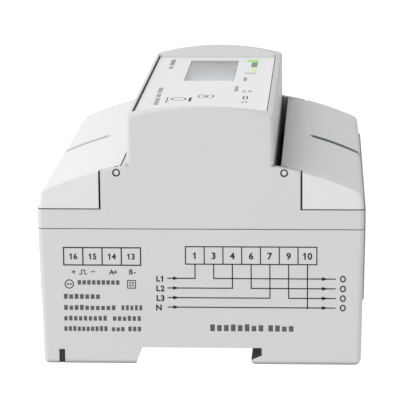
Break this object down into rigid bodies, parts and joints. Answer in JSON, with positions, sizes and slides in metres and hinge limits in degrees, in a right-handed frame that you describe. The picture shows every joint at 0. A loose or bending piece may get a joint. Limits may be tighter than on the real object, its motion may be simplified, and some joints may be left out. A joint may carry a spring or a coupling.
{
  "type": "smart electric meter",
  "caption": "Rail-mounted electricity meter with a raised display nose, hinged terminal covers on both sides, cage terminals and sprung rail clips.",
  "frame": {"origin": "centre of the rail seat, the plane that the rail's flanges lie against", "axes": "+X across the profile towards the power terminals, +Y along the rail, +Z away from the rail towards the display"},
  "size_m": [0.1029, 0.126, 0.0805],
  "materials": {
    "case_plastic": "fine moulded grain",
    "cover_plastic": "fine moulded grain",
    "faceplate_film": "printed satin film",
    "clear_window": "polished",
    "dark_plastic": "matte",
    "display_glass": "liquid crystal cell",
    "white_diffuser": "matte",
    "board_laminate": "solder mask",
    "clear_pipe": "polished",
    "lamp_body": "gloss",
    "zinc_steel": "zinc plated",
    "screw_steel": "zinc plated",
    "cage_steel": "zinc plated",
    "spring_steel": "drawn wire",
    "transformer_core": "varnished laminations",
    "capacitor_sleeve": "shrink sleeve",
    "shield_can": "tinned",
    "battery_sleeve": "shrink sleeve",
    "bus_copper": "plain copper",
    "coil_tape": "insulating tape",
    "block_plastic": "matte",
    "clip_plastic": "matte",
    "strip_rubber": "matte"
  },
  "bodies": {
    "case": {"base_housing": "case_plastic", "upper_housing": "case_plastic", "faceplate": "faceplate_film", "display_window": "clear_window", "display_frame": "dark_plastic", "display_glass": "display_glass", "display_backlight": "white_diffuser", "display_board": "board_laminate", "light_pipes": "clear_pipe", "indicator_lamps": "lamp_body", "main_board": "board_laminate", "board_screws": "zinc_steel", "metering_chips": "dark_plastic", "supply_transformer": "transformer_core", "supply_capacitors": "capacitor_sleeve", "radio_module": "shield_can", "backup_battery": "battery_sleeve", "board_connector": "dark_plastic", "phase_busbars": "bus_copper", "neutral_busbar": "bus_copper", "current_transformers": "coil_tape", "signal_contacts": "bus_copper", "power_terminal_block": "block_plastic", "signal_terminal_block": "block_plastic", "rail_strip": "strip_rubber", "foot_slot_plugs": "strip_rubber", "clip_spring_front": "spring_steel", "clip_spring_rear": "spring_steel"},
    "left_cover": {"left_terminal_cover": "cover_plastic"},
    "right_cover": {"right_terminal_cover": "cover_plastic"},
    "power_screw_1": {"power_screw_1": "screw_steel"},
    "power_cage_1": {"power_cage_1": "cage_steel"},
    "power_screw_3": {"power_screw_3": "screw_steel"},
    "power_cage_3": {"power_cage_3": "cage_steel"},
    "power_screw_4": {"power_screw_4": "screw_steel"},
    "power_cage_4": {"power_cage_4": "cage_steel"},
    "power_screw_6": {"power_screw_6": "screw_steel"},
    "power_cage_6": {"power_cage_6": "cage_steel"},
    "power_screw_7": {"power_screw_7": "screw_steel"},
    "power_cage_7": {"power_cage_7": "cage_steel"},
    "power_screw_9": {"power_screw_9": "screw_steel"},
    "power_cage_9": {"power_cage_9": "cage_steel"},
    "power_screw_10": {"power_screw_10": "screw_steel"},
    "power_cage_10": {"power_cage_10": "cage_steel"},
    "signal_screw_13": {"signal_screw_13": "screw_steel"},
    "signal_cage_13": {"signal_cage_13": "cage_steel"},
    "signal_screw_14": {"signal_screw_14": "screw_steel"},
    "signal_cage_14": {"signal_cage_14": "cage_steel"},
    "signal_screw_15": {"signal_screw_15": "screw_steel"},
    "signal_cage_15": {"signal_cage_15": "cage_steel"},
    "signal_screw_16": {"signal_screw_16": "screw_steel"},
    "signal_cage_16": {"signal_cage_16": "cage_steel"},
    "rail_clip_front": {"rail_clip_front": "clip_plastic"},
    "rail_clip_rear": {"rail_clip_rear": "clip_plastic"}
  },
  "joints": [
    {"name": "left_cover_hinge", "type": "hinge", "parent": "case", "child": "left_cover", "pos_m": [-0.0255, 0, 0.05511], "axis": [0, 1, 0], "range_deg": [0, 100]},
    {"name": "right_cover_hinge", "type": "hinge", "parent": "case", "child": "right_cover", "pos_m": [0.0255, 0, 0.05511], "axis": [0, -1, 0], "range_deg": [0, 100]},
    {"name": "rail_clip_front_slide", "type": "slide", "parent": "case", "child": "rail_clip_front", "axis": [-1, 0, 0], "range_m": [0, 0.0046], "stiffness_N_per_m": 300, "springref_m": -0.004, "deforming": ["clip_spring_front"]},
    {"name": "rail_clip_rear_slide", "type": "slide", "parent": "case", "child": "rail_clip_rear", "axis": [-1, 0, 0], "range_m": [0, 0.0046], "stiffness_N_per_m": 300, "springref_m": -0.004, "deforming": ["clip_spring_rear"]},
    {"name": "power_screw_1_turn", "type": "hinge", "parent": "case", "child": "power_screw_1", "pos_m": [0.0385, -0.051, 0.037], "axis": [0, 0, -1], "range_deg": [0, 2880]},
    {"name": "power_cage_1_lift", "type": "slide", "parent": "case", "child": "power_cage_1", "axis": [0, 0, 1], "range_m": [0, 0.008]},
    {"name": "power_screw_3_turn", "type": "hinge", "parent": "case", "child": "power_screw_3", "pos_m": [0.0385, -0.034, 0.037], "axis": [0, 0, -1], "range_deg": [0, 2880]},
    {"name": "power_cage_3_lift", "type": "slide", "parent": "case", "child": "power_cage_3", "axis": [0, 0, 1], "range_m": [0, 0.008]},
    {"name": "power_screw_4_turn", "type": "hinge", "parent": "case", "child": "power_screw_4", "pos_m": [0.0385, -0.017, 0.037], "axis": [0, 0, -1], "range_deg": [0, 2880]},
    {"name": "power_cage_4_lift", "type": "slide", "parent": "case", "child": "power_cage_4", "axis": [0, 0, 1], "range_m": [0, 0.008]},
    {"name": "power_screw_6_turn", "type": "hinge", "parent": "case", "child": "power_screw_6", "pos_m": [0.0385, 0, 0.037], "axis": [0, 0, -1], "range_deg": [0, 2880]},
    {"name": "power_cage_6_lift", "type": "slide", "parent": "case", "child": "power_cage_6", "axis": [0, 0, 1], "range_m": [0, 0.008]},
    {"name": "power_screw_7_turn", "type": "hinge", "parent": "case", "child": "power_screw_7", "pos_m": [0.0385, 0.017, 0.037], "axis": [0, 0, -1], "range_deg": [0, 2880]},
    {"name": "power_cage_7_lift", "type": "slide", "parent": "case", "child": "power_cage_7", "axis": [0, 0, 1], "range_m": [0, 0.008]},
    {"name": "power_screw_9_turn", "type": "hinge", "parent": "case", "child": "power_screw_9", "pos_m": [0.0385, 0.034, 0.037], "axis": [0, 0, -1], "range_deg": [0, 2880]},
    {"name": "power_cage_9_lift", "type": "slide", "parent": "case", "child": "power_cage_9", "axis": [0, 0, 1], "range_m": [0, 0.008]},
    {"name": "power_screw_10_turn", "type": "hinge", "parent": "case", "child": "power_screw_10", "pos_m": [0.0385, 0.051, 0.037], "axis": [0, 0, -1], "range_deg": [0, 2880]},
    {"name": "power_cage_10_lift", "type": "slide", "parent": "case", "child": "power_cage_10", "axis": [0, 0, 1], "range_m": [0, 0.008]},
    {"name": "signal_screw_13_turn", "type": "hinge", "parent": "case", "child": "signal_screw_13", "pos_m": [-0.04, -0.0105, 0.037], "axis": [0, 0, -1], "range_deg": [0, 2160]},
    {"name": "signal_cage_13_lift", "type": "slide", "parent": "case", "child": "signal_cage_13", "axis": [0, 0, 1], "range_m": [0, 0.003]},
    {"name": "signal_screw_14_turn", "type": "hinge", "parent": "case", "child": "signal_screw_14", "pos_m": [-0.04, -0.0035, 0.037], "axis": [0, 0, -1], "range_deg": [0, 2160]},
    {"name": "signal_cage_14_lift", "type": "slide", "parent": "case", "child": "signal_cage_14", "axis": [0, 0, 1], "range_m": [0, 0.003]},
    {"name": "signal_screw_15_turn", "type": "hinge", "parent": "case", "child": "signal_screw_15", "pos_m": [-0.04, 0.0035, 0.037], "axis": [0, 0, -1], "range_deg": [0, 2160]},
    {"name": "signal_cage_15_lift", "type": "slide", "parent": "case", "child": "signal_cage_15", "axis": [0, 0, 1], "range_m": [0, 0.003]},
    {"name": "signal_screw_16_turn", "type": "hinge", "parent": "case", "child": "signal_screw_16", "pos_m": [-0.04, 0.0105, 0.037], "axis": [0, 0, -1], "range_deg": [0, 2160]},
    {"name": "signal_cage_16_lift", "type": "slide", "parent": "case", "child": "signal_cage_16", "axis": [0, 0, 1], "range_m": [0, 0.003]}
  ],
  "couplings": [
    {"joint": "power_screw_1_turn", "follows": "power_cage_1_lift", "rad_per_m": 6283.1},
    {"joint": "power_screw_3_turn", "follows": "power_cage_3_lift", "rad_per_m": 6283.1},
    {"joint": "power_screw_4_turn", "follows": "power_cage_4_lift", "rad_per_m": 6283.1},
    {"joint": "power_screw_6_turn", "follows": "power_cage_6_lift", "rad_per_m": 6283.1},
    {"joint": "power_screw_7_turn", "follows": "power_cage_7_lift", "rad_per_m": 6283.1},
    {"joint": "power_screw_9_turn", "follows": "power_cage_9_lift", "rad_per_m": 6283.1},
    {"joint": "power_screw_10_turn", "follows": "power_cage_10_lift", "rad_per_m": 6283.1},
    {"joint": "signal_screw_13_turn", "follows": "signal_cage_13_lift", "rad_per_m": 12566},
    {"joint": "signal_screw_14_turn", "follows": "signal_cage_14_lift", "rad_per_m": 12566},
    {"joint": "signal_screw_15_turn", "follows": "signal_cage_15_lift", "rad_per_m": 12566},
    {"joint": "signal_screw_16_turn", "follows": "signal_cage_16_lift", "rad_per_m": 12566}
  ]
}
